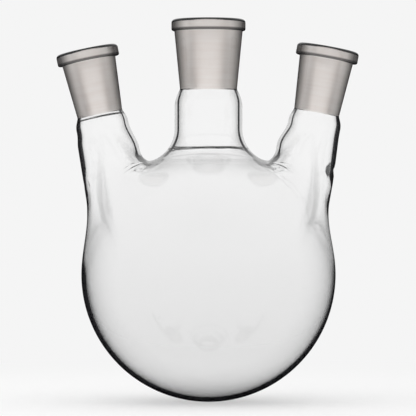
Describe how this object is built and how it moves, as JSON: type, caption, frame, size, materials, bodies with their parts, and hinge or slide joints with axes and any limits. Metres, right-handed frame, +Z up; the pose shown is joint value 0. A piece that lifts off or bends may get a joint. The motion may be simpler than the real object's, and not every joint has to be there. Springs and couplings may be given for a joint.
{
  "type": "three neck flask",
  "caption": "Clear round-bottom laboratory flask with an upright centre neck between slimmer side necks that lean outward, each opening in a ground-glass socket with a bead.",
  "frame": {"origin": "lowest point of the bulb, on the axis of the centre neck", "axes": "+Z up along the centre neck, +X towards the right-hand side neck, -X towards the left-hand one, -Y towards the viewer of the three necks side by side"},
  "size_m": [0.1248, 0.105, 0.158],
  "materials": {
    "borosilicate_glass": "clear blown borosilicate glass, fire polished; the sockets' inside is ground to a matt white"
  },
  "bodies": {
    "root": {"flask": "borosilicate_glass"}
  },
  "joints": []
}
